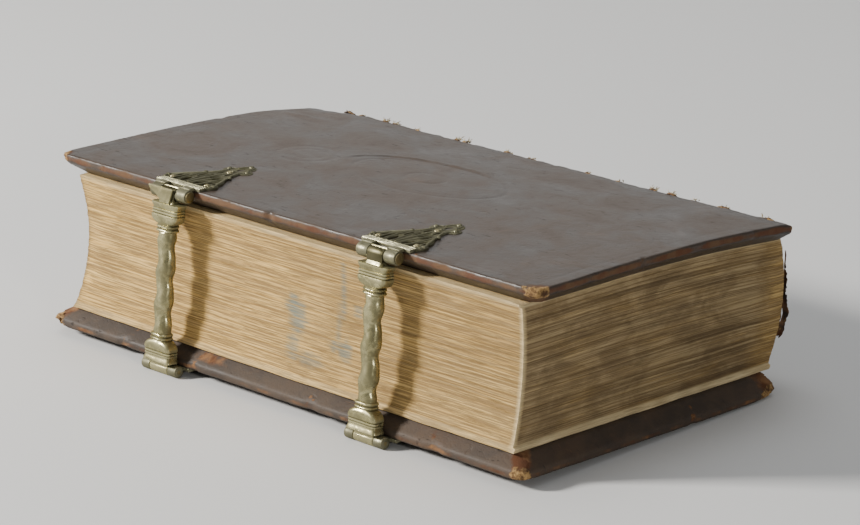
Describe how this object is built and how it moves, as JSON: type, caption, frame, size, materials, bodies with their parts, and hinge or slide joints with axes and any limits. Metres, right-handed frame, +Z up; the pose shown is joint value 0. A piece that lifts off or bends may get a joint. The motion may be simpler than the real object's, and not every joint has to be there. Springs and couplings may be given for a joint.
{
  "type": "antique leather book",
  "caption": "Thick old folio in worn brown leather over bevelled wooden boards, with ragged spine and cast brass clasps hinged on the lower cover and hooked to the upper one.",
  "frame": {"origin": "on the surface the book lies on, under the middle of its bounding box", "axes": "+X from head to tail along the spine, -Y towards the fore-edge with the clasps, +Y towards the spine, +Z up from the lower cover to the upper cover"},
  "size_m": [0.36, 0.233, 0.1045],
  "materials": {
    "cover_leather": "satin",
    "spine_leather": "matte",
    "board_wood": "matte",
    "page_paper": "matte",
    "pastedown_paper": "matte",
    "lining_paper": "matte",
    "hemp_cord": "matte",
    "cast_brass": "satin",
    "brass_rod": "satin",
    "brass_nails": "satin"
  },
  "bodies": {
    "lower_cover": {"hinge_pin_1": "brass_rod", "hinge_pin_2": "brass_rod", "hinge_plate_1": "cast_brass", "hinge_plate_2": "cast_brass", "hinge_rivets_1": "brass_nails", "hinge_rivets_2": "brass_nails", "lower_board": "board_wood", "lower_cover_leather": "cover_leather", "lower_pastedown": "pastedown_paper"},
    "text_block": {"sewing_cord_1": "hemp_cord", "sewing_cord_2": "hemp_cord", "sewing_cord_3": "hemp_cord", "sewing_cord_4": "hemp_cord", "sewing_cord_5": "hemp_cord", "spine_leather": "spine_leather", "spine_lining_1": "lining_paper", "spine_lining_2": "lining_paper", "spine_lining_3": "lining_paper", "spine_lining_4": "lining_paper", "spine_lining_5": "lining_paper", "spine_lining_6": "lining_paper", "text_block": "page_paper"},
    "upper_cover": {"catch_bar_1": "brass_rod", "catch_bar_2": "brass_rod", "catch_plate_1": "cast_brass", "catch_plate_2": "cast_brass", "catch_rivets_1": "brass_nails", "catch_rivets_2": "brass_nails", "upper_board": "board_wood", "upper_cover_leather": "cover_leather", "upper_pastedown": "pastedown_paper"},
    "clasp_1": {"clasp_arm_1": "cast_brass"},
    "clasp_2": {"clasp_arm_2": "cast_brass"}
  },
  "joints": [
    {"name": "back_joint", "type": "hinge", "parent": "lower_cover", "child": "text_block", "pos_m": [0, 0.09535, 0.01077], "axis": [-1, 0, 0], "range_deg": [0, 90]},
    {"name": "front_joint", "type": "hinge", "parent": "text_block", "child": "upper_cover", "pos_m": [0, 0.10458, 0.08255], "axis": [-1, 0, 0], "range_deg": [0, 90]},
    {"name": "clasp_1_hinge", "type": "hinge", "parent": "lower_cover", "child": "clasp_1", "pos_m": [-0.081, -0.11204, 0.00325], "axis": [1, 0, 0], "range_deg": [0, 90]},
    {"name": "clasp_2_hinge", "type": "hinge", "parent": "lower_cover", "child": "clasp_2", "pos_m": [0.076, -0.11204, 0.00325], "axis": [1, 0, 0], "range_deg": [0, 90]}
  ]
}
